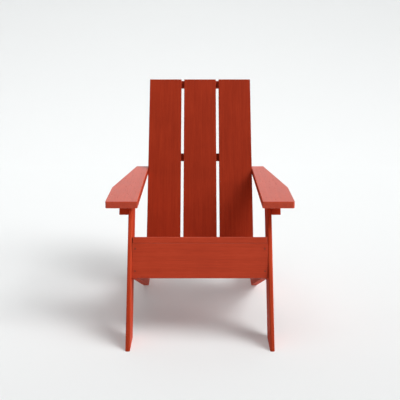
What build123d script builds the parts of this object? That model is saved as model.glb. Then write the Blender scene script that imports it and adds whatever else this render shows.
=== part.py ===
from build123d import *
import os
from math import cos, radians, sin, tan

# Flat-board garden armchair with a reclined back of three wide boards.
# Millimetres, +Z up, the front of the chair faces -Y.
# Pieces named left are at -X, which is on the left when the chair is seen from the front.
# Every side position is first given as (y, z), with y counted back from the front feet.

# ---- stock thicknesses ----
leg_thickness = 18
rail_thickness = 26
seat_thickness = 26
arm_thickness = 28
back_thickness = 18
apron_thickness = 18
batten_thickness = 18

# ---- slopes, in degrees ----
leg_rake = 27.65        # front legs, from vertical, feet forward
seat_slope = 22.85      # side rails and seat, down towards the rear
back_recline = 30.75    # back, from vertical

# ---- widths and heights ----
frame_width = 548       # between the inner faces of the front legs
leg_width = 125
arm_top = 558
arm_width = 128
arm_front = 181         # y of the arms' front ends
arm_straight_end = 433  # y where the outer edge starts its long diagonal cut
arm_rear = 888          # y of the arms' rear ends
arm_rear_width = 59
rail_height = 140
rail_top_front = (198, 380.5)   # top front corner of the apron, on the rails' top line
foot_length = 129       # length of a side rail's cut on the ground
cleat_width = 38
cleat_bottom = 481
cleat_setback = 12      # cleat behind the leg's front edge and short of its rear edge
seat_slat_width = 140
seat_slat_gap = 7
seat_side_gap = 1.5     # between a seat slat's end and the front leg
back_top = 961
back_y_at_arm = 815     # y of the back's front face at the height of the arm tops
back_slat_length = 950
back_slat_gap = 13
back_side_gap = 1.5     # between the outer back slats and the side rails
batten_width = 35
batten_end_gap = 4      # batten ends inside the back's outer edges
middle_batten_start = 533       # up the back, from the slats' lower ends
rear_rail_start = 5
rear_rail_width = 65
rear_rail_thickness = 26
post_thickness = 25
post_depth = 38
post_drop = 30          # post below the slats' lower ends

# ---- edge roundings ----
leg_edge_radius = 6
board_edge_radius = 2
seat_edge_radius = 3
arm_edge_radius = 2
arm_corner_radius = 8
arm_small_corner_radius = 3

# ---- fasteners ----
screw_head_radius = 3.5
screw_shank_radius = 2.1
screw_head_height = 2.2
screw_point_length = 5
screw_tip_radius = 0.3
screw_drive_width = 2.8
screw_drive_depth = 2
bolt_head_radius = 7.5
bolt_shank_radius = 4
bolt_head_height = 4.4
bolt_drive_width = 5
bolt_drive_depth = 3
washer_radius = 9
washer_thickness = 1.6
nut_width = 13
nut_height = 6.5
bolt_end_length = 2.5   # bolt past its nut
bolt_end_chamfer = 1
hole_clearance = 0.1
head_recess = 0.3       # heads below the wood's surface

# ---- where the fasteners go ----
apron_screw_length = 60
apron_screw_drops = (22, 112)           # below the apron's top edge
seat_screw_length = 55
seat_screw_inset = 30                   # from a seat slat's front and rear edges
seat_screw_offset = 6                   # inside the rails' middle, clear of the apron's screws
batten_screw_length = 30
back_foot_screw_length = 36
slat_screw_offset = 40                  # each side of a back slat's middle
post_screw_length = 50
post_screw_heights = (140, 330, 515)    # up the back, from the slats' lower ends
rear_rail_screw_length = 65
rear_rail_screw_heights = (20, 52)
cleat_screw_length = 40
cleat_screw_offset = 34                 # each side of the leg's middle
arm_front_screw_length = 65
arm_front_screw_offset = 16             # each side of the leg's middle
arm_rear_screw_length = 60
arm_rear_screw_insets = (52, 34)        # from the arm's rear end
leg_bolt_setback = 65                   # back along the rails from the apron's face
leg_bolt_offset = 38                    # along the leg, each way from the rails' middle
post_bolt_heights = (-6, 50)

# ---- values that follow from the ones above ----
arm_bottom = arm_top - arm_thickness
leg_inner_x = frame_width / 2
leg_outer_x = leg_inner_x + leg_thickness
rail_inner_x = leg_inner_x - rail_thickness
rail_middle_x = leg_inner_x - rail_thickness / 2
back_half_width = rail_inner_x - back_side_gap
back_slat_width = (2 * back_half_width - 2 * back_slat_gap) / 3
leg_ground_length = leg_width / cos(radians(leg_rake))
back_top_y = back_y_at_arm + (back_top - arm_top) * tan(radians(back_recline))
rounding_loss = board_edge_radius * (sin(radians(back_recline)) + cos(radians(back_recline)) - 1)
back_rear_y = back_top_y + (back_thickness + batten_thickness) * cos(radians(back_recline))
overall_depth = back_rear_y - rounding_loss
front_y = -overall_depth / 2

os.makedirs("parts", exist_ok=True)
pieces = {}


# ---- side geometry: points are (y, z) with y from the front feet ----
def seat_point(back_along, up):
    """A point from the rails' top front corner: back down the slope, and up square to it."""
    slope = radians(seat_slope)
    y = rail_top_front[0] + back_along * cos(slope) + up * sin(slope)
    z = rail_top_front[1] - back_along * sin(slope) + up * cos(slope)
    return (y, z)


def back_point(up_along, behind):
    """A point from the back slats' lower front edge: up the back, and behind its front face."""
    recline = radians(back_recline)
    foot_y = back_top_y - back_slat_length * sin(recline)
    foot_z = back_top - back_slat_length * cos(recline)
    y = foot_y + up_along * sin(recline) + behind * cos(recline)
    z = foot_z + up_along * cos(recline) - behind * sin(recline)
    return (y, z)


def leg_point(z, behind):
    """A point at height z, a level distance behind the front leg's front edge."""
    return (z * tan(radians(leg_rake)) + behind, z)


def place(side_point, x):
    """A side point as a full position in the chair's own frame."""
    y, z = side_point
    return (x, front_y + y, z)


# ---- board makers ----
def side_board(points, x_low, x_high):
    """A board with the given side outline, between two x planes."""
    outline = Polyline([place(point, x_low) for point in points], close=True)
    return extrude(make_face(outline), amount=x_high - x_low, dir=(1, 0, 0))


def rounded(board, radius):
    return fillet(board.edges(), radius)


def back_board(low, high, front, rear, x_low, x_high):
    """A straight board in the slope of the back."""
    corners = [
        back_point(low, front),
        back_point(high, front),
        back_point(high, rear),
        back_point(low, rear),
    ]
    return side_board(corners, x_low, x_high)


def mirrored(board):
    return mirror(board, about=Plane.YZ)


def add_pair(name, right_board):
    """Keep a right-hand board and its mirrored twin."""
    pieces[name + "_right"] = right_board
    pieces[name + "_left"] = mirrored(right_board)


# ---- boards ----
def make_front_leg():
    outline = [
        leg_point(0, 0),
        leg_point(arm_bottom, 0),
        leg_point(arm_bottom, leg_ground_length),
        leg_point(0, leg_ground_length),
    ]
    leg = side_board(outline, leg_inner_x, leg_outer_x)
    raked = Vector(0, sin(radians(leg_rake)), cos(radians(leg_rake)))
    long_edges = [edge for edge in leg.edges() if abs((edge % 0.5).dot(raked)) > 0.999]
    return fillet(long_edges, leg_edge_radius)


def make_side_rail():
    front_top = seat_point(apron_thickness, 0)
    front_bottom = seat_point(apron_thickness, -rail_height)
    slope = tan(radians(seat_slope))
    foot_front = front_bottom[0] + front_bottom[1] / slope
    foot_rear = foot_front + foot_length
    rear_top = front_top[1] - (foot_rear - front_top[0]) * slope
    outline = [front_top, (foot_rear, rear_top), (foot_rear, 0), (foot_front, 0), front_bottom]
    return rounded(side_board(outline, rail_inner_x, leg_inner_x), board_edge_radius)


def make_front_apron():
    corners = [
        seat_point(0, 0),
        seat_point(apron_thickness, 0),
        seat_point(apron_thickness, -rail_height),
        seat_point(0, -rail_height),
    ]
    return rounded(side_board(corners, -leg_inner_x, leg_inner_x), board_edge_radius)


def make_seat_slat(position):
    start = position * (seat_slat_width + seat_slat_gap)
    end = start + seat_slat_width
    half_length = leg_inner_x - seat_side_gap
    corners = [
        seat_point(start, 0),
        seat_point(start, seat_thickness),
        seat_point(end, seat_thickness),
        seat_point(end, 0),
    ]
    return rounded(side_board(corners, -half_length, half_length), seat_edge_radius)


def make_back_slat(position):
    """Position -1 is the left slat, 0 the centre one and 1 the right one."""
    middle = position * (back_slat_width + back_slat_gap)
    low_x = middle - back_slat_width / 2
    slat = back_board(0, back_slat_length, 0, back_thickness, low_x, low_x + back_slat_width)
    return rounded(slat, board_edge_radius)


def make_batten(start):
    half_length = back_half_width - batten_end_gap
    rear = back_thickness + batten_thickness
    batten = back_board(start, start + batten_width, back_thickness, rear, -half_length, half_length)
    return rounded(batten, board_edge_radius)


def make_rear_seat_rail():
    end = rear_rail_start + rear_rail_width
    rail = back_board(rear_rail_start, end, -rear_rail_thickness, 0, -rail_inner_x, rail_inner_x)
    return rounded(rail, board_edge_radius)


def make_back_post():
    rear = back_thickness + post_depth
    inner_x = rail_inner_x - post_thickness
    post = back_board(-post_drop, middle_batten_start, back_thickness, rear, inner_x, rail_inner_x)
    return rounded(post, board_edge_radius)


def make_arm():
    inner_x = rail_inner_x
    outer_x = inner_x + arm_width
    corners = [
        (inner_x, arm_front),
        (outer_x, arm_front),
        (outer_x, arm_straight_end),
        (inner_x + arm_rear_width, arm_rear),
        (inner_x, arm_rear),
    ]
    outline = Polyline([(x, front_y + y, arm_bottom) for x, y in corners], close=True)
    arm = extrude(make_face(outline), amount=arm_thickness, dir=(0, 0, 1))
    upright = arm.edges().filter_by(Axis.Z)
    front_outer = upright.sort_by_distance((outer_x, front_y + arm_front, arm_top))[0]
    small = [edge for edge in upright if edge is not front_outer]
    arm = fillet(small, arm_small_corner_radius)
    upright = arm.edges().filter_by(Axis.Z)
    front_outer = upright.sort_by_distance((outer_x, front_y + arm_front, arm_top))[0]
    arm = fillet(front_outer, arm_corner_radius)
    level = arm.faces().filter_by(Axis.Z).edges()
    return fillet(level, arm_edge_radius)


def make_arm_cleat():
    rear = leg_ground_length - cleat_setback
    outline = [
        leg_point(cleat_bottom, cleat_setback),
        leg_point(arm_bottom, cleat_setback),
        leg_point(arm_bottom, rear),
        leg_point(cleat_bottom, rear),
    ]
    return rounded(side_board(outline, leg_outer_x, leg_outer_x + cleat_width), board_edge_radius)


# ---- fasteners: made pointing down from a head at the origin ----
def turned(profile):
    """A solid turned about Z from (radius, z) points."""
    outline = Polyline([(radius, 0, z) for radius, z in profile], close=True)
    return revolve(make_face(outline), axis=Axis.Z)


def screw_body(length, extra=0):
    profile = [
        (0, 0),
        (screw_head_radius + extra, 0),
        (screw_shank_radius + extra, -screw_head_height),
        (screw_shank_radius + extra, -length + screw_point_length),
        (screw_tip_radius + extra, -length - extra),
        (0, -length - extra),
    ]
    return turned(profile)


def make_screw(length):
    drive = Pos(0, 0, -screw_drive_depth / 2) * Box(screw_drive_width, screw_drive_width, screw_drive_depth)
    return screw_body(length) - drive


def screw_hole(length):
    mouth = Cylinder(screw_head_radius + hole_clearance, head_recess)
    return screw_body(length, hole_clearance) + Pos(0, 0, head_recess / 2) * mouth


def bolt_body(length, extra=0):
    end = -length
    profile = [
        (0, 0),
        (bolt_head_radius + extra, 0),
        (bolt_shank_radius + extra, -bolt_head_height),
        (bolt_shank_radius + extra, end + bolt_end_chamfer),
        (bolt_shank_radius + extra - bolt_end_chamfer, end),
        (0, end),
    ]
    return turned(profile)


def make_bolt(length):
    socket = extrude(RegularPolygon(bolt_drive_width / 2, 6, major_radius=False), amount=-bolt_drive_depth)
    return bolt_body(length) - socket


def bolt_hole(length):
    mouth = Cylinder(bolt_head_radius + hole_clearance, head_recess)
    return bolt_body(length, hole_clearance) + Pos(0, 0, head_recess / 2) * mouth


def make_washer():
    bore = Cylinder(bolt_shank_radius + hole_clearance, washer_thickness)
    return Pos(0, 0, -washer_thickness / 2) * (Cylinder(washer_radius, washer_thickness) - bore)


def make_nut():
    hexagon = extrude(RegularPolygon(nut_width / 2, 6, major_radius=False), amount=-nut_height)
    bore = Pos(0, 0, -nut_height / 2) * Cylinder(bolt_shank_radius + hole_clearance, nut_height)
    return hexagon - bore


def seated(shape, head_point, outward):
    """Put a fastener's head in the surface at head_point, facing along outward."""
    sunk = Vector(*head_point) - Vector(*outward).normalized() * head_recess
    return Plane(origin=sunk, z_dir=outward).location * shape


def both_sides(spots):
    """Spots are (head position, outward direction); each one is repeated at -X."""
    result = []
    for (x, y, z), (dx, dy, dz) in spots:
        result.append(((x, y, z), (dx, dy, dz)))
        result.append(((-x, y, z), (-dx, dy, dz)))
    return result


def add_screws(name, length, spots, boards):
    """One node of equal screws, and their holes in the boards they join."""
    pieces[name] = Compound(children=[seated(make_screw(length), *spot) for spot in spots])
    for board in boards:
        pieces[board] -= [seated(screw_hole(length), *spot) for spot in spots]


def add_bolts(name, grip, spots, boards):
    """Flat-headed bolts through boards of total thickness grip, with washers and nuts."""
    length = grip - head_recess + washer_thickness + nut_height + bolt_end_length
    pieces[name + "s"] = Compound(children=[seated(make_bolt(length), *spot) for spot in spots])
    washers = []
    nuts = []
    for head_point, outward in spots:
        far_face = Vector(*head_point) - Vector(*outward) * grip
        under_washer = far_face - Vector(*outward) * washer_thickness
        washers.append(Plane(origin=far_face, z_dir=outward).location * make_washer())
        nuts.append(Plane(origin=under_washer, z_dir=outward).location * make_nut())
    pieces[name + "_washers"] = Compound(children=washers)
    pieces[name + "_nuts"] = Compound(children=nuts)
    for board in boards:
        pieces[board] -= [seated(bolt_hole(length), *spot) for spot in spots]


# ---- directions used by the fasteners ----
seat_up = (0, sin(radians(seat_slope)), cos(radians(seat_slope)))
apron_out = (0, -cos(radians(seat_slope)), sin(radians(seat_slope)))
back_out = (0, cos(radians(back_recline)), -sin(radians(back_recline)))
sideways = (1, 0, 0)
inwards = (-1, 0, 0)
downwards = (0, 0, -1)


def make_boards():
    add_pair("front_leg", make_front_leg())
    add_pair("side_rail", make_side_rail())
    pieces["front_apron"] = make_front_apron()
    for position, name in enumerate(["front", "middle", "rear"]):
        pieces["seat_slat_" + name] = make_seat_slat(position)
    pieces["rear_seat_rail"] = make_rear_seat_rail()
    for position, name in zip([-1, 0, 1], ["left", "centre", "right"]):
        pieces["back_slat_" + name] = make_back_slat(position)
    pieces["back_batten_top"] = make_batten(back_slat_length - batten_width)
    pieces["back_batten_middle"] = make_batten(middle_batten_start)
    add_pair("back_post", make_back_post())
    add_pair("arm", make_arm())
    add_pair("arm_cleat", make_arm_cleat())


def fasten_apron():
    """Two screws at each end of the apron, into the end of the side rail."""
    spots = [(place(seat_point(0, -down), rail_middle_x), apron_out) for down in apron_screw_drops]
    boards = ["front_apron", "side_rail_left", "side_rail_right"]
    add_screws("apron_screws", apron_screw_length, both_sides(spots), boards)


def fasten_seat():
    """Two screws at each end of every seat slat, down into the side rail."""
    pitch = seat_slat_width + seat_slat_gap
    slats = ["seat_slat_front", "seat_slat_middle", "seat_slat_rear"]
    screw_x = rail_middle_x - seat_screw_offset
    spots = []
    for position in range(len(slats)):
        for inset in (seat_screw_inset, seat_slat_width - seat_screw_inset):
            spots.append((place(seat_point(position * pitch + inset, seat_thickness), screw_x), seat_up))
    boards = slats + ["side_rail_left", "side_rail_right"]
    add_screws("seat_slat_screws", seat_screw_length, both_sides(spots), boards)


def fasten_back():
    """Screws from behind, through the battens into the slats and through the slats into the rear rail."""
    slats = ["back_slat_left", "back_slat_centre", "back_slat_right"]
    pitch = back_slat_width + back_slat_gap
    columns = [middle * pitch + side * slat_screw_offset for middle in (-1, 0, 1) for side in (-1, 1)]
    batten_rear = back_thickness + batten_thickness
    heights = [back_slat_length - batten_width / 2, middle_batten_start + batten_width / 2]
    spots = [(place(back_point(height, batten_rear), x), back_out) for height in heights for x in columns]
    boards = slats + ["back_batten_top", "back_batten_middle"]
    add_screws("back_batten_screws", batten_screw_length, spots, boards)
    height = rear_rail_start + rear_rail_width / 2
    spots = [(place(back_point(height, back_thickness), x), back_out) for x in columns]
    add_screws("back_foot_screws", back_foot_screw_length, spots, slats + ["rear_seat_rail"])
    post_x = rail_inner_x - post_thickness / 2
    rear = back_thickness + post_depth
    spots = [(place(back_point(height, rear), post_x), back_out) for height in post_screw_heights]
    boards = ["back_slat_left", "back_slat_right", "back_post_left", "back_post_right"]
    add_screws("back_post_screws", post_screw_length, both_sides(spots), boards)


def fasten_rear_rail():
    """Screws through the side rails into the ends of the rear seat rail."""
    middle = -rear_rail_thickness / 2
    heights = rear_rail_screw_heights
    spots = [(place(back_point(height, middle), leg_inner_x), sideways) for height in heights]
    boards = ["rear_seat_rail", "side_rail_left", "side_rail_right"]
    add_screws("rear_rail_screws", rear_rail_screw_length, both_sides(spots), boards)


def fasten_arms():
    """Cleat to leg, arm to cleat from below, and arm to back post from inside."""
    middle = leg_ground_length / 2
    cleat_middle_z = (cleat_bottom + arm_bottom) / 2
    behind = [middle - cleat_screw_offset, middle + cleat_screw_offset]
    spots = [(place(leg_point(cleat_middle_z, back), leg_inner_x), inwards) for back in behind]
    boards = ["front_leg_left", "front_leg_right", "arm_cleat_left", "arm_cleat_right"]
    add_screws("arm_cleat_screws", cleat_screw_length, both_sides(spots), boards)
    cleat_x = leg_outer_x + cleat_width / 2
    behind = [middle - arm_front_screw_offset, middle + arm_front_screw_offset]
    spots = [(place(leg_point(cleat_bottom, back), cleat_x), downwards) for back in behind]
    boards = ["arm_cleat_left", "arm_cleat_right", "arm_left", "arm_right"]
    add_screws("arm_front_screws", arm_front_screw_length, both_sides(spots), boards)
    arm_middle_z = arm_top - arm_thickness / 2
    inner_x = rail_inner_x - post_thickness
    depths = [arm_rear - inset for inset in arm_rear_screw_insets]
    spots = [(place((y, arm_middle_z), inner_x), inwards) for y in depths]
    boards = ["back_post_left", "back_post_right", "arm_left", "arm_right"]
    add_screws("arm_rear_screws", arm_rear_screw_length, both_sides(spots), boards)


def fasten_frame():
    """Flat-headed bolts: front legs to side rails, and side rails to back posts."""
    rake = radians(leg_rake)
    leg_middle = seat_point(leg_bolt_setback, -rail_height / 2)
    spots = []
    for along in (-leg_bolt_offset, leg_bolt_offset):
        spot = (leg_middle[0] + along * sin(rake), leg_middle[1] + along * cos(rake))
        spots.append((place(spot, leg_outer_x), sideways))
    boards = ["front_leg_left", "front_leg_right", "side_rail_left", "side_rail_right"]
    add_bolts("leg_bolt", leg_thickness + rail_thickness, both_sides(spots), boards)
    middle = back_thickness + post_depth / 2
    spots = [(place(back_point(height, middle), leg_inner_x), sideways) for height in post_bolt_heights]
    boards = ["back_post_left", "back_post_right", "side_rail_left", "side_rail_right"]
    add_bolts("post_bolt", rail_thickness + post_thickness, both_sides(spots), boards)


make_boards()
fasten_apron()
fasten_seat()
fasten_back()
fasten_rear_rail()
fasten_arms()
fasten_frame()

for node_name, piece in pieces.items():
    export_step(piece, f"parts/{node_name}.step")
    size = piece.bounding_box().size
    print(f"{node_name:22s} {len(piece.solids()):3d} solids {size.X:8.1f} {size.Y:8.1f} {size.Z:8.1f}")

whole = Compound(children=list(pieces.values())).bounding_box()
print("whole chair", whole.min, whole.max)
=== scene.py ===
# %% [markdown]
# # A painted armchair for the garden
#
# This lesson dresses a flat-board garden armchair. The engineering model is already made:
# every board, screw and bolt has its exact place and size. Here the boards are made again
# the way a joiner would, from straight stock that is sawn, eased at the edges and
# countersunk, and then they are painted. The screws and bolts have the right shape already,
# so they only get their finishes.
#
# The first cell loads that model as a frame to build in.

# %% Load the frame
import math

import bmesh
import bpy
from mathutils import Matrix, Vector


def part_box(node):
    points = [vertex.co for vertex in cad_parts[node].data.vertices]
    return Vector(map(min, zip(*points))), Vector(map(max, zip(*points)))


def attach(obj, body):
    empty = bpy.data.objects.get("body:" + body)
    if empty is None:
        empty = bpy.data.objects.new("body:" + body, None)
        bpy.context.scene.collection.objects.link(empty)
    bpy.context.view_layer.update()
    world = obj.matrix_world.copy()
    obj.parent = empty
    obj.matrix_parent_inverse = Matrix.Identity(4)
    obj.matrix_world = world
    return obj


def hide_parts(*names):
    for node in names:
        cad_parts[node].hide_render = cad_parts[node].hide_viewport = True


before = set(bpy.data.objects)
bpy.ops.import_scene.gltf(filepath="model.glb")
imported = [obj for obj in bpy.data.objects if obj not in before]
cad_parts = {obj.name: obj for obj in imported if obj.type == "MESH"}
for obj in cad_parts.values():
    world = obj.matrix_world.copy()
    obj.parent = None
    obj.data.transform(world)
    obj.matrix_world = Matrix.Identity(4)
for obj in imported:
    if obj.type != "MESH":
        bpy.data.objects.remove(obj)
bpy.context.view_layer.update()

# %% [markdown]
# ## The measures of the chair
#
# A drawing of this chair needs few numbers: three slopes, the rounding of each kind of edge,
# and the stock that each board is cut from, which is named where the board is made. Blender
# works in metres, so a millimetre gets a name.

# %% Slopes and edges
MM = 0.001
LEG_RAKE = math.radians(27.65)       # front legs, from upright
SEAT_SLOPE = math.radians(22.85)     # seat and side rails, down towards the rear
BACK_RECLINE = math.radians(30.75)   # back, from upright

LEG_EDGE = 6 * MM      # the legs' long edges are generously rounded
SEAT_EDGE = 3 * MM
BOARD_EDGE = 2 * MM    # every other board
ARM_CORNER = 8 * MM    # the arm's front outer corner, seen from above
ARM_SMALL_CORNER = 3 * MM
EDGE_STEPS = 4         # facets in a rounded edge
print("the seat slopes by", round(math.degrees(SEAT_SLOPE), 2), "degrees")

# %% [markdown]
# ## The camera
#
# The chair is seen from straight ahead and a little above, with a lens a bit longer than
# normal. A longer lens keeps the near arms from looking too large. The camera looks down
# by 14 degrees; Blender's camera looks straight down when it is unturned, so it is tipped
# up from there.

# %% Set the camera
CAMERA_HEIGHT = 1.2965
CAMERA_Y = -3.3015
CAMERA_TIP = math.radians(90 - 13.978)
LENS = 69.0            # mm
SENSOR_WIDTH = 36.0    # mm

camera_data = bpy.data.cameras.new("studio_camera")
camera_data.lens = LENS
camera_data.sensor_width = SENSOR_WIDTH
camera = bpy.data.objects.new("studio_camera", camera_data)
camera.location = (0, CAMERA_Y, CAMERA_HEIGHT)
camera.rotation_euler = (CAMERA_TIP, 0, 0)
bpy.context.scene.collection.objects.link(camera)
bpy.context.scene.camera = camera
print("camera is", round(camera.location.length, 2), "m from the middle of the floor under the chair")

# %% [markdown]
# ## Colours and nodes
#
# Colours are picked as sRGB hex values, as on a paint chart, but a shader adds up light,
# so it wants linear values. One function turns the one into the other. A second function
# adds any node with its settings and links, so a material reads as a list of what it is
# made of.

# %% Colour and node helpers
def srgb(code):
    """A hex colour such as '#BC3B1D' as linear red, green, blue and alpha."""
    values = [int(code[i:i + 2], 16) / 255 for i in (1, 3, 5)]
    return [v / 12.92 if v <= 0.04045 else ((v + 0.055) / 1.055) ** 2.4 for v in values] + [1]


def add_node(tree, kind, links=None, values=None, **settings):
    """Add a node; links join its inputs to other nodes' outputs, values fill its inputs."""
    node = tree.nodes.new("ShaderNode" + kind)
    for name, value in settings.items():
        setattr(node, name, value)
    for socket, value in (values or {}).items():
        node.inputs[socket].default_value = value
    for socket, output in (links or {}).items():
        tree.links.new(output, node.inputs[socket])
    return node


def new_material(name):
    """An empty node material; gives back the material and its node tree."""
    material = bpy.data.materials.new(name)
    material.use_nodes = True
    material.node_tree.nodes.clear()
    return material, material.node_tree


# %% [markdown]
# ## The studio
#
# A product like this stands on a pale sweep: one sheet that is floor in front and
# curves up into a backdrop, so no horizon line shows. Its side outline is a few points and
# a quarter circle, spun with `bmesh.ops.spin`, and the outline is then stretched sideways.

# %% Make the sweep
SWEEP_FRONT = -30.0
SWEEP_BACK = 5.0
SWEEP_RADIUS = 2.0
SWEEP_TOP = 7.0
SWEEP_WIDTH = 60.0
SWEEP_STEPS = 24
BEND_START = SWEEP_BACK - SWEEP_RADIUS

sweep = bmesh.new()
start = sweep.verts.new((-SWEEP_WIDTH / 2, SWEEP_FRONT, 0))
foot = sweep.verts.new((-SWEEP_WIDTH / 2, BEND_START, 0))
sweep.edges.new((start, foot))
curve = bmesh.ops.spin(
    sweep, geom=[foot], cent=(0, BEND_START, SWEEP_RADIUS), axis=(1, 0, 0),
    angle=math.radians(90), steps=SWEEP_STEPS)
head = [item for item in curve["geom_last"] if isinstance(item, bmesh.types.BMVert)]
wall = bmesh.ops.extrude_vert_indiv(sweep, verts=head)
bmesh.ops.translate(sweep, verts=wall["verts"], vec=(0, 0, SWEEP_TOP - SWEEP_RADIUS))
sheet = bmesh.ops.extrude_edge_only(sweep, edges=sweep.edges[:])
side = [item for item in sheet["geom"] if isinstance(item, bmesh.types.BMVert)]
bmesh.ops.translate(sweep, verts=side, vec=(SWEEP_WIDTH, 0, 0))
bmesh.ops.recalc_face_normals(sweep, faces=sweep.faces[:])
for face in sweep.faces:
    face.smooth = True
sweep_mesh = bpy.data.meshes.new("studio_sweep")
sweep.to_mesh(sweep_mesh)
sweep.free()
studio_sweep = bpy.data.objects.new("studio_sweep", sweep_mesh)
bpy.context.scene.collection.objects.link(studio_sweep)
print("sweep has", len(sweep_mesh.polygons), "faces")

# %% [markdown]
# The sweep is matt and nearly white, with no gloss that would mirror the legs. It also glows
# a little, with no lamp behind it: painted light that lifts the shadows and softens them.

# %% Paint the sweep
# painted light: the sweep's own glow, which keeps the shadows pale
SWEEP_GLOW = 0.2

sweep_paint, tree = new_material("matt_white_studio_paint")
shader = add_node(tree, "BsdfPrincipled", values={
    "Base Color": srgb("#CDCFCF"), "Roughness": 0.9, "Specular IOR Level": 0.2,
    "Emission Color": srgb("#FFFFFF"), "Emission Strength": SWEEP_GLOW})
add_node(tree, "OutputMaterial", links={"Surface": shader.outputs["BSDF"]})
sweep_mesh.materials.append(sweep_paint)
print("sweep has", sweep_paint.name)

# %% [markdown]
# ## The light
#
# Big soft sources make the calm light of a catalogue. Lamps close by would light the near
# floor more than the far floor. A sun lamp with a wide angle acts as a huge softbox far
# away: the light is even over the whole floor, and shadows are still soft.
#
# Three softboxes stand on the right. The main one is high and a little in front, and two
# lower ones reach the faces of the legs and rails that look to the right. A weak one on the
# left keeps the other faces from going black. The widest of all is the ceiling, behind
# the chair and above it. The last lamp is a square panel that brightens the backdrop.
# The picture is shown with the plain sRGB curve, because white has to stay white.

# %% Hang the lights
FLOOR_MIDDLE = (0, 0, 0)
BACKDROP = (0, 4.8, 1.5)


def add_light(name, kind, place, aim, strength, **settings):
    """A lamp at place that shines at aim; its shape is in the settings."""
    light = bpy.data.lights.new(name, kind)
    light.energy = strength
    for setting, value in settings.items():
        setattr(light, setting, value)
    lamp = bpy.data.objects.new(name, light)
    lamp.location = place
    lamp.rotation_euler = (Vector(aim) - Vector(place)).to_track_quat("-Z", "Y").to_euler()
    bpy.context.scene.collection.objects.link(lamp)


add_light("main_softbox", "SUN", (2.7, -1.35, 4.0), FLOOR_MIDDLE, 1.6, angle=math.radians(28))
add_light("side_softbox", "SUN", (4.0, -1.4, 3.0), FLOOR_MIDDLE, 1.3, angle=math.radians(35))
add_light("low_side_softbox", "SUN", (4.0, -0.4, 1.6), FLOOR_MIDDLE, 0.4, angle=math.radians(35))
add_light("left_fill", "SUN", (-4.0, -0.4, 1.6), FLOOR_MIDDLE, 0.2, angle=math.radians(35))
add_light("ceiling", "SUN", (0, 2.0, 4.0), FLOOR_MIDDLE, 0.26, angle=math.radians(60))
add_light("backdrop_panel", "AREA", (0, 0.4, 5.5), BACKDROP, 104, shape="SQUARE", size=3.0)

bpy.context.scene.view_settings.view_transform = "Standard"
print("the studio has", len(bpy.data.lights), "lamps")

# %% [markdown]
# The room beyond the sweep is pale up to a thin band above the horizon, and almost dark
# higher up, so it hardly tints the boards. From the side, the band hides where the floor
# ends. The direction of each ray, split into its parts, gives the height it looks at.

# %% Light the room
HORIZON = 0.85       # strength of the light
CEILING = 0.03
BAND_FOOT = 0.005    # height in a ray's direction, where 1 is straight up
BAND_TOP = 0.06
room = bpy.data.worlds.new("pale_room")
room.use_nodes = True
tree = room.node_tree
tree.nodes.clear()
ray = add_node(tree, "TexCoord")
height = add_node(tree, "SeparateXYZ", links={"Vector": ray.outputs["Generated"]})
walls = add_node(tree, "MapRange", links={"Value": height.outputs["Z"]}, interpolation_type="SMOOTHSTEP",
                 values={"From Min": BAND_FOOT, "From Max": BAND_TOP, "To Min": HORIZON, "To Max": CEILING})
room_light = add_node(tree, "Background", links={"Strength": walls.outputs["Result"]},
                      values={"Color": srgb("#FAFBFC")})
add_node(tree, "OutputWorld", links={"Surface": room_light.outputs["Background"]})
bpy.context.scene.world = room
print("the room is", room.name)

# %% [markdown]
# ## Grain under the paint
#
# The boards are softwood under two coats of rust-red exterior enamel. The paint hides the
# colour of the wood but not its surface: growth rings and pores stay as a faint relief, with
# a brighter coat on the ridges and a darker one in the hollows. A picture of wood would look
# the same on every board. Noise, stretched along the grain, never repeats.
#
# All of that follows the grain, and the grain follows the board, not the room. So each board
# carries an attribute named `grain`: across, through and along, in metres, measured in the
# board itself. The growth rings are drawn round a line outside the board and not quite in
# line with it, so they cross the faces as long, slanting bands.

# %% Draw the grain
RING_SPACING = 34.5575 * MM         # wide, as where a saw meets the rings at a low angle
STREAK_WIDTH = 5 * MM               # real streaks are nearer 2 mm, but would be too fine to show
STREAK_LENGTH = 170 * MM
PORE_WIDTH = 1.6 * MM
PORE_LENGTH = 34 * MM
PATCH_SIZE = 130 * MM               # slow change in the thickness of the coat
HEART_OFFSET = (0.02, 0.09, 0)
HEART_TILT = (math.radians(2.5), math.radians(1.2), 0)
WAVE_PERIOD = 2 * math.pi / 20      # a wave texture with a scale of 1 repeats after this


def grain_noise(tree, grain, width, length, detail):
    """Noise drawn out along the grain: width across it and length along it."""
    spread = add_node(tree, "Mapping", links={"Vector": grain.outputs["Vector"]},
                      values={"Scale": (1 / width, 1 / width, 1 / length)})
    noise = add_node(tree, "TexNoise", links={"Vector": spread.outputs["Vector"]},
                     values={"Scale": 1.0, "Detail": detail, "Roughness": 0.55})
    return noise.outputs["Fac"]


def growth_rings(tree, grain):
    """Bands of the distance from the heart of the tree."""
    heart = add_node(tree, "Mapping", links={"Vector": grain.outputs["Vector"]},
                     values={"Location": HEART_OFFSET, "Rotation": HEART_TILT})
    rings = add_node(tree, "TexWave", links={"Vector": heart.outputs["Vector"]},
                     wave_type="RINGS", rings_direction="Z", wave_profile="SAW",
                     values={"Scale": WAVE_PERIOD / RING_SPACING, "Distortion": 1.6, "Detail": 2.0,
                             "Detail Scale": 6.0})
    return rings.outputs["Fac"]


def multiply_add(tree, value, factor, added):
    """The output that holds value times factor, plus added."""
    node = add_node(tree, "Math", operation="MULTIPLY_ADD", links={0: value, 2: added}, values={1: factor})
    return node.outputs["Value"]
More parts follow.
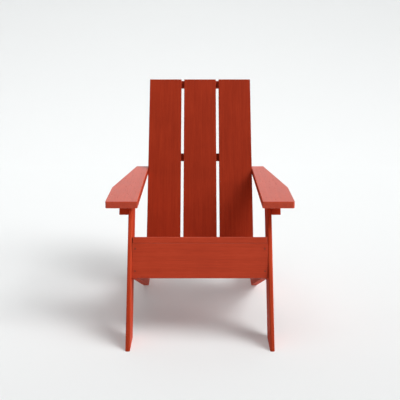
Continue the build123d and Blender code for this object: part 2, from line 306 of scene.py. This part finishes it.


# %% [markdown]
# ## Colour, wear and a painted highlight
#
# A second attribute, `arris`, is 1 on the eased edges, and there the paint is a little paler:
# partly wear, where sleeves and hands polish the paint, and partly a painted highlight, the
# bright line that a rounded edge catches. Paleness of one even width would look printed, so
# it comes and goes with the slow patches of the coat.

# %% Colour the coat, then wear its edges and paint a highlight on them
PATCH_RANGE = (0.35, 0.65)      # most of the noise lies between these values
WEAR_AND_HIGHLIGHT_RANGE = (0.15, 0.6)        # least and most paleness of an eased edge, from wear and painted highlight, where 1 is the rubbed tone


def coat_colour(tree, depth, thin, usual, thick):
    """The tone of the paint for the depth of the coat."""
    colour = add_node(tree, "ValToRGB", links={"Fac": depth})
    colour.color_ramp.elements[0].color = srgb(thin)
    colour.color_ramp.elements[1].color = srgb(thick)
    colour.color_ramp.elements.new(0.5).color = srgb(usual)
    return colour.outputs["Color"]


def edge_wear_and_highlight(tree, patches):
    """How far the coat is paled by wear and a painted highlight, which is 0 everywhere but on the eased
    edges.
    """
    arris = add_node(tree, "Attribute", attribute_name="arris")
    stretches = add_node(tree, "MapRange", links={"Value": patches}, values={
        "From Min": PATCH_RANGE[0], "From Max": PATCH_RANGE[1],
        "To Min": WEAR_AND_HIGHLIGHT_RANGE[0], "To Max": WEAR_AND_HIGHLIGHT_RANGE[1]})
    wear_and_highlight = add_node(tree, "Math", operation="MULTIPLY",
                    links={0: stretches.outputs["Result"], 1: arris.outputs["Fac"]})
    return wear_and_highlight.outputs["Value"]


# %% [markdown]
# ## Enamel on timber
#
# Colour, gloss and relief could each have a noise of their own, but then they would not
# agree. Here all three come from the same grain. One recipe makes four finishes of the
# same enamel. The arms are handled most and shine like satin. The seat and the apron have
# the lower gloss of eggshell. The legs, rails and cleats are flat. The back is matt, and its
# tones are a shade darker.

# %% Mix the paint
STREAKS_IN_COAT = 1.4           # weights beside the pores, which count once
PATCHES_IN_COAT = 0.7
RINGS_IN_COAT = 0.2
COAT_RANGE = (1.25, 2.05)       # sums that give the thinnest and the thickest coat
PORES_IN_RELIEF = 0.5           # weights beside the streaks, which count once
RINGS_IN_RELIEF = 0.5
RELIEF_HEIGHT = 0.35 * MM
RELIEF_STRENGTH = 0.35
PORE_RANGE = (0.3, 0.7)
RUBBED_SMOOTHER = -0.08         # change of roughness where the coat is fully worn


def add_enamel(name, tones, roughness, specular):
    """Enamel over timber; tones are for a thin, usual and thick coat and for a rubbed edge, paler from wear
    and a painted highlight.
    """
    thin, usual, thick, rubbed_and_highlight = tones
    material, tree = new_material(name)
    grain = add_node(tree, "Attribute", attribute_name="grain")
    streaks = grain_noise(tree, grain, STREAK_WIDTH, STREAK_LENGTH, 4)
    pores = grain_noise(tree, grain, PORE_WIDTH, PORE_LENGTH, 2)
    patches = grain_noise(tree, grain, PATCH_SIZE, PATCH_SIZE, 2)
    rings = growth_rings(tree, grain)

    # Depth of the coat: mostly streaks, then pores and patches, then a trace of the rings.
    coat = multiply_add(tree, streaks, STREAKS_IN_COAT, pores)
    coat = multiply_add(tree, patches, PATCHES_IN_COAT, coat)
    coat = multiply_add(tree, rings, RINGS_IN_COAT, coat)
    depth = add_node(tree, "MapRange", links={"Value": coat},
                     values={"From Min": COAT_RANGE[0], "From Max": COAT_RANGE[1]})
    colour = coat_colour(tree, depth.outputs["Result"], thin, usual, thick)

    # Relief: streaks, pores and rings under the paint, softened by it.
    relief = multiply_add(tree, pores, PORES_IN_RELIEF, streaks)
    relief = multiply_add(tree, rings, RINGS_IN_RELIEF, relief)
    bump = add_node(tree, "Bump", links={"Height": relief},
                    values={"Strength": RELIEF_STRENGTH, "Distance": RELIEF_HEIGHT})
    sheen = add_node(tree, "MapRange", links={"Value": pores}, values={
        "From Min": PORE_RANGE[0], "From Max": PORE_RANGE[1],
        "To Min": roughness[0], "To Max": roughness[1]})

    # Wear and a painted highlight: eased edges are paler, and smoother where worn.
    wear_and_highlight = edge_wear_and_highlight(tree, patches)
    # A Mix node has sockets for every kind of data: its colours are 6 and 7, its result is 2.
    shade = add_node(tree, "Mix", data_type="RGBA", links={0: wear_and_highlight, 6: colour}, values={7: srgb(rubbed_and_highlight)})
    smoothed = multiply_add(tree, wear_and_highlight, RUBBED_SMOOTHER, sheen.outputs["Result"])
    shader = add_node(tree, "BsdfPrincipled", links={
        "Base Color": shade.outputs[2], "Roughness": smoothed,
        "Normal": bump.outputs["Normal"]}, values={"IOR": 1.5, "Specular IOR Level": specular})
    add_node(tree, "OutputMaterial", links={"Surface": shader.outputs["BSDF"]})
    print(name, "has", len(tree.nodes), "nodes")
    return material


# The fourth tone of each finish is for the eased edges: paler, from wear and a painted highlight.
satin = add_enamel("rust_red_satin_enamel_on_softwood",
                   ("#B73A1D", "#C14021", "#C94626", "#CE5438"), (0.27, 0.36), 0.34)
eggshell = add_enamel("rust_red_eggshell_enamel_on_softwood",
                      ("#AB371D", "#B43B1F", "#BB4024", "#BC4A30"), (0.44, 0.54), 0.24)
flat = add_enamel("rust_red_flat_enamel_on_softwood",
                  ("#B4391C", "#BF3F20", "#C84526", "#C84E2F"), (0.56, 0.66), 0.08)
matt = add_enamel("rust_red_matt_enamel_on_softwood",
                  ("#8C2912", "#972D15", "#A03218", "#A2381F"), (0.58, 0.68), 0.06)

# %% [markdown]
# ## Tools for working a board
#
# Every board starts as straight stock: a box with its width, thickness and length. A
# joiner saws it at an angle, and `bisect_plane` does the same to a mesh: it cuts along a
# plane, throws one side away and the open end is closed with a new face. Then the sharp
# edges, the arrises, are eased with a bevel.

# %% Stock, saw and plane
ON_THE_PLANE = 1e-7    # m, how near a point must be to a cut to lie on it
PARALLEL = 0.999       # least cosine of the angle between two lines that run alike


def stock(size, turn=0.0, centre=(0, 0, 0)):
    """A straight piece of timber, turned about X and put with its middle at centre."""
    bm = bmesh.new()
    bmesh.ops.create_cube(bm, size=1)
    bmesh.ops.scale(bm, vec=size, verts=bm.verts)
    place = Matrix.Translation(centre) @ Matrix.Rotation(turn, 4, "X")
    bmesh.ops.transform(bm, matrix=place, verts=bm.verts)
    return bm


def saw(bm, point, waste):
    """Cut along the plane through point, and drop what lies on the side that waste points to."""
    geometry = bm.verts[:] + bm.edges[:] + bm.faces[:]
    cut = bmesh.ops.bisect_plane(
        bm, geom=geometry, dist=ON_THE_PLANE, plane_co=point, plane_no=waste, clear_outer=True)
    rim = [item for item in cut["geom_cut"] if isinstance(item, bmesh.types.BMEdge)]
    bmesh.ops.holes_fill(bm, edges=rim)
    bmesh.ops.recalc_face_normals(bm, faces=bm.faces[:])


def ease(bm, edges, radius):
    """Round edges to a radius, and mark the new faces as arris."""
    mark = bm.faces.layers.float.get("arris") or bm.faces.layers.float.new("arris")
    rounded = bmesh.ops.bevel(
        bm, geom=edges, offset=radius, offset_type="OFFSET", affect="EDGES", segments=EDGE_STEPS,
        profile=0.5, material=-1, clamp_overlap=True)
    for face in rounded["faces"]:
        face[mark] = 1.0


def edges_along(bm, direction):
    """The edges that run in a direction."""
    found = []
    for edge in bm.edges:
        along = (edge.verts[1].co - edge.verts[0].co).normalized()
        if abs(along.dot(direction)) > PARALLEL:
            found.append(edge)
    return found


# %% [markdown]
# ## Countersinks
#
# A screw's head sits in the wood, a fraction below the surface, so each board needs a
# pocket round every head. The screws themselves say where: each one in the frame is a
# separate island of its node's mesh, and its head is the end that faces out. The pocket
# is a plain round plug taken away with a Boolean modifier, which is then applied.

# %% Find the heads
SCREW_POCKET = 3.6 * MM
BOLT_POCKET = 7.6 * MM
SCREW_POCKET_DEPTH = 2.3 * MM
BOLT_POCKET_DEPTH = 4.5 * MM
ABOVE_SURFACE = 1 * MM
HEAD_RIM = 0.1 * MM      # points this near the top of a head belong to its rim
SAME_POINT = 1e-6        # m, points nearer than this are one
AWAY = "away"            # heads that face away from the middle of the chair, on both sides
TOWARDS = "towards"      # heads that face the middle
pockets = []


def islands(mesh):
    """The separate pieces of a mesh, each as a list of points."""
    bm = bmesh.new()
    bm.from_mesh(mesh)
    bmesh.ops.remove_doubles(bm, verts=bm.verts, dist=SAME_POINT)
    left = set(bm.verts)
    found = []
    while left:
        queue = [left.pop()]
        island = []
        while queue:
            vert = queue.pop()
            island.append(vert.co.copy())
            for edge in vert.link_edges:
                other = edge.other_vert(vert)
                if other in left:
                    left.remove(other)
                    queue.append(other)
        found.append(island)
    bm.free()
    return found


def head_direction(island, facing):
    """The way a head faces: a given direction, or sideways from or to the middle."""
    side = math.copysign(1, island[0].x)
    if facing == AWAY:
        return Vector((side, 0, 0))
    if facing == TOWARDS:
        return Vector((-side, 0, 0))
    return Vector(facing)


def find_heads(node, facing, radius, depth, boards):
    """Note a pocket in the boards for every head of a node's fasteners."""
    for island in islands(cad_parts[node].data):
        out = head_direction(island, facing)
        top = max(point.dot(out) for point in island)
        rim = [point for point in island if point.dot(out) > top - HEAD_RIM]
        centre = sum(rim, Vector()) / len(rim)
        pockets.append((centre, out, radius, depth, boards))
    print(node, "has", len(pockets), "pockets so far")


seat_up = (0, math.sin(SEAT_SLOPE), math.cos(SEAT_SLOPE))
apron_out = (0, -math.cos(SEAT_SLOPE), math.sin(SEAT_SLOPE))
back_out = (0, math.cos(BACK_RECLINE), -math.sin(BACK_RECLINE))
screw = (SCREW_POCKET, SCREW_POCKET_DEPTH)
bolt = (BOLT_POCKET, BOLT_POCKET_DEPTH)
find_heads("apron_screws", apron_out, *screw, ["front_apron"])
find_heads("seat_slat_screws", seat_up, *screw, ["seat_slat_front", "seat_slat_middle", "seat_slat_rear"])
find_heads("back_batten_screws", back_out, *screw, ["back_batten_top", "back_batten_middle"])
find_heads("back_foot_screws", back_out, *screw, ["back_slat_left", "back_slat_centre", "back_slat_right"])
find_heads("back_post_screws", back_out, *screw, ["back_post_left", "back_post_right"])
find_heads("rear_rail_screws", AWAY, *screw, ["side_rail_left", "side_rail_right"])
find_heads("arm_cleat_screws", TOWARDS, *screw, ["front_leg_left", "front_leg_right"])
find_heads("arm_front_screws", (0, 0, -1), *screw, ["arm_cleat_left", "arm_cleat_right"])
find_heads("arm_rear_screws", TOWARDS, *screw, ["back_post_left", "back_post_right"])
find_heads("leg_bolts", AWAY, *bolt, ["front_leg_left", "front_leg_right"])
find_heads("post_bolts", AWAY, *bolt, ["side_rail_left", "side_rail_right"])

# %% [markdown]
# ## Finishing a board
#
# A finished board is one object at the origin, with its place in its mesh. First its
# pockets are drilled. Boards share their kinds of screws with their neighbours, so a pocket
# is only drilled where it lies at the board.

# %% Drill the pockets
POCKET_SIDES = 24
POCKET_REACH = 2 * MM


def box_of(mesh):
    """The lowest and highest corner of a mesh."""
    low = Vector(min(v.co[i] for v in mesh.vertices) for i in range(3))
    high = Vector(max(v.co[i] for v in mesh.vertices) for i in range(3))
    return low, high


def near(point, mesh):
    """True if a point lies in or just outside the box of a mesh."""
    low, high = box_of(mesh)
    return all(low[i] - POCKET_REACH < point[i] < high[i] + POCKET_REACH for i in range(3))


def drill(board, spots):
    """Take round pockets away from a board object, and leave the result in its mesh."""
    plugs = bmesh.new()
    for centre, out, radius, depth in spots:
        length = depth + ABOVE_SURFACE
        middle_point = centre + out * (ABOVE_SURFACE - depth) / 2
        turn = out.to_track_quat("Z", "Y").to_matrix().to_4x4()
        bmesh.ops.create_cone(
            plugs, cap_ends=True, segments=POCKET_SIDES, radius1=radius, radius2=radius, depth=length,
            matrix=Matrix.Translation(middle_point) @ turn)
    plug_mesh = bpy.data.meshes.new("plugs")
    plugs.to_mesh(plug_mesh)
    plugs.free()
    plug = bpy.data.objects.new("plugs", plug_mesh)
    bpy.context.scene.collection.objects.link(plug)
    cut = board.modifiers.new("pockets", "BOOLEAN")
    cut.operation = "DIFFERENCE"
    cut.solver = "EXACT"
    cut.object = plug
    shown = board.evaluated_get(bpy.context.evaluated_depsgraph_get())
    drilled = bpy.data.meshes.new_from_object(shown)
    board.modifiers.remove(cut)
    board.data = drilled
    bpy.data.objects.remove(plug)
    bpy.data.meshes.remove(plug_mesh)


# %% [markdown]
# Next come the `grain` attribute, made by turning every point back into the board's own
# directions, and the paint. A Weighted Normal modifier keeps the large faces flat and lets
# only the eased edges look round. A different start for each board keeps neighbours from
# sharing one pattern, as boards from one pack never do.

# %% Mark the grain and finish
PATTERN_STEP = (0.37, 0.23, 0.61)    # m that the pattern moves on from one board to the next
GRAIN_ORDER = {"X": (2, 1, 0), "Y": (0, 2, 1), "Z": (0, 1, 2)}
FULL_WEIGHT = 100
finished = []


def mark_grain(mesh, turn, along):
    """Store across, through and along for every point of a board that runs along an axis."""
    low, high = box_of(mesh)
    middle_point = (low + high) / 2
    back = Matrix.Rotation(-turn, 3, "X")
    shift = Vector(step * len(finished) for step in PATTERN_STEP)
    grain_layer = mesh.attributes.new("grain", "FLOAT_VECTOR", "POINT")
    for vert, item in zip(mesh.vertices, grain_layer.data):
        own = back @ (vert.co - middle_point)
        item.vector = Vector(own[i] for i in GRAIN_ORDER[along]) + shift


def finish_board(bm, name, turn, along, paint):
    """Turn a worked bmesh into a painted piece that replaces the frame's board."""
    mesh = bpy.data.meshes.new(name + "_board")
    bm.to_mesh(mesh)
    bm.free()
    board = bpy.data.objects.new(name + "_board", mesh)
    bpy.context.scene.collection.objects.link(board)
    spots = [pocket[:4] for pocket in pockets if name in pocket[4] and near(pocket[0], mesh)]
    if spots:
        drill(board, spots)
    mesh = board.data
    mesh.name = name + "_board"
    finished.append(name)
    mark_grain(mesh, turn, along)
    if "arris" not in mesh.attributes:
        mesh.attributes.new("arris", "FLOAT", "FACE")
    mesh.materials.clear()
    mesh.materials.append(paint)
    for polygon in mesh.polygons:
        polygon.use_smooth = True
        polygon.material_index = 0
    even = board.modifiers.new("flat_faces", "WEIGHTED_NORMAL")
    even.mode = "FACE_AREA"
    even.weight = FULL_WEIGHT
    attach(board, "root")
    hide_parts(name)

    low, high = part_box(name)
    own_low, own_high = box_of(mesh)
    off = max(abs(value) for value in [*(own_low - Vector(low)), *(own_high - Vector(high))])
    print(f"{name}: {len(mesh.polygons)} faces, {len(spots)} pockets, off the frame by {off / MM:.2f} mm")


# %% [markdown]
# ## The back
#
# Three wide boards lean back together. They are plain rectangles, so the middle of each
# board is the middle of its box in the frame, and only the slope has to be known. Two thin
# battens tie them together from behind, and two posts carry the back down to the side rails.

# %% Make the back
BACK_WIDTH = 155.67 * MM
BACK_THICKNESS = 18 * MM
BACK_LENGTH = 950 * MM


def middle_of(name):
    """The middle of a frame part's box."""
    low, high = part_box(name)
    return (Vector(low) + Vector(high)) / 2


for name in ("back_slat_left", "back_slat_centre", "back_slat_right"):
    slat = stock((BACK_WIDTH, BACK_THICKNESS, BACK_LENGTH), -BACK_RECLINE, middle_of(name))
    ease(slat, slat.edges[:], BOARD_EDGE)
    finish_board(slat, name, -BACK_RECLINE, "Z", matt)

BATTEN_SIZE = (485 * MM, 18 * MM, 35 * MM)
for name in ("back_batten_top", "back_batten_middle"):
    batten = stock(BATTEN_SIZE, -BACK_RECLINE, middle_of(name))
    ease(batten, batten.edges[:], BOARD_EDGE)
    finish_board(batten, name, -BACK_RECLINE, "X", matt)

POST_SIZE = (25 * MM, 38 * MM, 563 * MM)
for name in ("back_post_left", "back_post_right"):
    post = stock(POST_SIZE, -BACK_RECLINE, middle_of(name))
    ease(post, post.edges[:], BOARD_EDGE)
    finish_board(post, name, -BACK_RECLINE, "Z", matt)

REAR_RAIL_SIZE = (496 * MM, 26 * MM, 65 * MM)
rear_rail = stock(REAR_RAIL_SIZE, -BACK_RECLINE, middle_of("rear_seat_rail"))
ease(rear_rail, rear_rail.edges[:], BOARD_EDGE)
finish_board(rear_rail, "rear_seat_rail", -BACK_RECLINE, "X", flat)

# %% [markdown]
# ## The seat
#
# The seat boards run from side to side and slope down towards the back. The apron closes
# the front under them, square to the seat, so its face looks slightly upwards.

# %% Make the seat and apron
SEAT_SIZE = (545 * MM, 140 * MM, 26 * MM)
for name in ("seat_slat_front", "seat_slat_middle", "seat_slat_rear"):
    slat = stock(SEAT_SIZE, -SEAT_SLOPE, middle_of(name))
    ease(slat, slat.edges[:], SEAT_EDGE)
    finish_board(slat, name, -SEAT_SLOPE, "X", eggshell)

APRON_SIZE = (548 * MM, 18 * MM, 140 * MM)
apron = stock(APRON_SIZE, -SEAT_SLOPE, middle_of("front_apron"))
ease(apron, apron.edges[:], BOARD_EDGE)
finish_board(apron, "front_apron", -SEAT_SLOPE, "X", eggshell)

# %% [markdown]
# ## The side rails
#
# Each side rail carries the seat and runs down to become the rear foot. It is one long
# board with the seat's slope. Its front end stays square. Two saw cuts make the foot: one
# level with the ground and one upright at the back.

# %% Make the side rails
RAIL_THICKNESS = 26 * MM
RAIL_HEIGHT = 140 * MM
RAIL_STOCK = 1.4      # m, longer than needed: the foot's cuts take the rest
down_slope = Vector((0, math.cos(SEAT_SLOPE), -math.sin(SEAT_SLOPE)))
apron_turn = Matrix.Rotation(-SEAT_SLOPE, 3, "X")
apron_back = middle_of("front_apron") + apron_turn @ Vector((0, APRON_SIZE[1] / 2, 0))

for name in ("side_rail_left", "side_rail_right"):
    rail_middle = apron_back + down_slope * RAIL_STOCK / 2
    rail_middle.x = middle_of(name).x
    rail = stock((RAIL_THICKNESS, RAIL_STOCK, RAIL_HEIGHT), -SEAT_SLOPE, rail_middle)
    rear_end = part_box(name)[1][1]
    saw(rail, (0, 0, 0), (0, 0, -1))
    saw(rail, (0, rear_end, 0), (0, 1, 0))
    ease(rail, rail.edges[:], BOARD_EDGE)
    finish_board(rail, name, -SEAT_SLOPE, "Y", flat)

# %% [markdown]
# ## The front legs
#
# The legs rake back from their feet. They are sawn level at the ground and under the arm,
# and only their long edges are rounded: the sawn ends stay crisp, because one stands on the
# ground and the other is covered by the arm.

# %% Make the front legs
LEG_SIZE = (18 * MM, 125 * MM, 800 * MM)
leg_direction = Vector((0, math.sin(LEG_RAKE), math.cos(LEG_RAKE)))

for name in ("front_leg_left", "front_leg_right"):
    low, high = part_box(name)
    leg = stock(LEG_SIZE, -LEG_RAKE, middle_of(name))
    saw(leg, (0, 0, low[2]), (0, 0, -1))
    saw(leg, (0, 0, high[2]), (0, 0, 1))
    ease(leg, edges_along(leg, leg_direction), LEG_EDGE)
    finish_board(leg, name, -LEG_RAKE, "Z", flat)

# %% [markdown]
# ## The arms
#
# Each arm is a broad level board. Its outer edge runs straight for a hand's length and then
# cuts in on a long diagonal to a narrow rear end beside the back. The corner where a
# sleeve might catch is rounded more than the others. The upright corner edges are
# rounded first, and the top and bottom edges after them, so the small rounding runs
# evenly round the corners. A cleat under the front of each arm ties it to the leg.

# %% Make the arms
ARM_STRAIGHT = 252 * MM      # length of the outer edge before the diagonal
ARM_REAR_WIDTH = 59 * MM
UP = Vector((0, 0, 1))
LEVEL = 0.01 * MM            # edges whose ends differ less than this in height lie level
SHARP = 1.0                  # radians, the least angle between faces at an edge to be eased

for name, side_sign in (("arm_left", -1), ("arm_right", 1)):
    low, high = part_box(name)
    size = Vector(high) - Vector(low)
    arm = stock(size, 0.0, middle_of(name))
    outer = high[0] if side_sign > 0 else low[0]
    inner = low[0] if side_sign > 0 else high[0]
    bend = Vector((outer, low[1] + ARM_STRAIGHT, 0))
    rear = Vector((inner + side_sign * ARM_REAR_WIDTH, high[1], 0))
    run = rear - bend
    saw(arm, bend, (side_sign * run.y, -side_sign * run.x, 0))
    upright = edges_along(arm, UP)
    corner = [edge for edge in upright
              if abs(edge.verts[0].co.x - outer) < MM and edge.verts[0].co.y < low[1] + MM]
    others = [edge for edge in upright if edge not in corner]
    ease(arm, others, ARM_SMALL_CORNER)
    ease(arm, corner, ARM_CORNER)
    level = [edge for edge in arm.edges
             if abs(edge.verts[0].co.z - edge.verts[1].co.z) < LEVEL
             and abs(edge.calc_face_angle(0)) > SHARP]
    ease(arm, level, BOARD_EDGE)
    finish_board(arm, name, 0.0, "Y", satin)

CLEAT_WIDTH = 38 * MM
CLEAT_LENGTH = 300 * MM
CLEAT_SETBACK = 12 * MM      # from each long edge of the leg, measured level

for name in ("arm_cleat_left", "arm_cleat_right"):
    low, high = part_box(name)
    depth = LEG_SIZE[1] - 2 * CLEAT_SETBACK * math.cos(LEG_RAKE)
    cleat = stock((CLEAT_WIDTH, depth, CLEAT_LENGTH), -LEG_RAKE, middle_of(name))
    saw(cleat, (0, 0, low[2]), (0, 0, -1))
    saw(cleat, (0, 0, high[2]), (0, 0, 1))
    ease(cleat, cleat.edges[:], BOARD_EDGE)
    finish_board(cleat, name, -LEG_RAKE, "Y", flat)

# %% [markdown]
# ## Screws and bolts
#
# The fasteners are the frame's own, with their exact shape. The screws are deck screws:
# steel with a baked red-brown polymer coating, picked to go unseen in painted or stained
# wood. The coating is dipped, so it is matt and uneven, thicker in one spot than in the
# next. The bolts, washers and nuts are zinc plated: a pale, slightly blue metal, mottled
# where its crystals differ.

# %% Make the screw coating and the zinc
COATING_LUMPS = 0.9 * MM
ZINC_SPANGLE = 1.6 * MM

coated, tree = new_material("red_brown_polymer_coated_steel")
place = add_node(tree, "TexCoord")
lumps = add_node(tree, "TexNoise", links={"Vector": place.outputs["Object"]},
                 values={"Scale": 1 / COATING_LUMPS, "Detail": 3.0})
coat_tint = add_node(tree, "ValToRGB", links={"Fac": lumps.outputs["Fac"]})
coat_tint.color_ramp.elements[0].color = srgb("#74301F")
coat_tint.color_ramp.elements[1].color = srgb("#8E402B")
coat_gloss = add_node(tree, "MapRange", links={"Value": lumps.outputs["Fac"]},
                      values={"To Min": 0.45, "To Max": 0.65})
coat_bump = add_node(tree, "Bump", links={"Height": lumps.outputs["Fac"]},
                     values={"Strength": 0.3, "Distance": 0.06 * MM})
shader = add_node(tree, "BsdfPrincipled", links={
    "Base Color": coat_tint.outputs["Color"], "Roughness": coat_gloss.outputs["Result"],
    "Normal": coat_bump.outputs["Normal"]}, values={"IOR": 1.5, "Specular IOR Level": 0.3})
add_node(tree, "OutputMaterial", links={"Surface": shader.outputs["BSDF"]})

zinc, tree = new_material("zinc_plated_steel")
place = add_node(tree, "TexCoord")
spangle = add_node(tree, "TexVoronoi", links={"Vector": place.outputs["Object"]},
                   values={"Scale": 1 / ZINC_SPANGLE})
zinc_tint = add_node(tree, "ValToRGB", links={"Fac": spangle.outputs["Distance"]})
zinc_tint.color_ramp.elements[0].color = srgb("#B4BAC2")
zinc_tint.color_ramp.elements[1].color = srgb("#9299A3")
zinc_gloss = add_node(tree, "MapRange", links={"Value": spangle.outputs["Distance"]},
                      values={"To Min": 0.32, "To Max": 0.52})
shader = add_node(tree, "BsdfPrincipled", links={
    "Base Color": zinc_tint.outputs["Color"], "Roughness": zinc_gloss.outputs["Result"]},
    values={"Metallic": 1.0})
add_node(tree, "OutputMaterial", links={"Surface": shader.outputs["BSDF"]})

SCREW_NODES = (
    "apron_screws", "seat_slat_screws", "back_batten_screws", "back_foot_screws", "back_post_screws",
    "rear_rail_screws", "arm_cleat_screws", "arm_front_screws", "arm_rear_screws")
BOLT_NODES = (
    "leg_bolts", "leg_bolt_washers", "leg_bolt_nuts", "post_bolts", "post_bolt_washers", "post_bolt_nuts")
for names, metal in ((SCREW_NODES, coated), (BOLT_NODES, zinc)):
    for name in names:
        for material_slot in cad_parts[name].material_slots:
            material_slot.material = metal
    print(metal.name, "is on", len(names), "nodes")
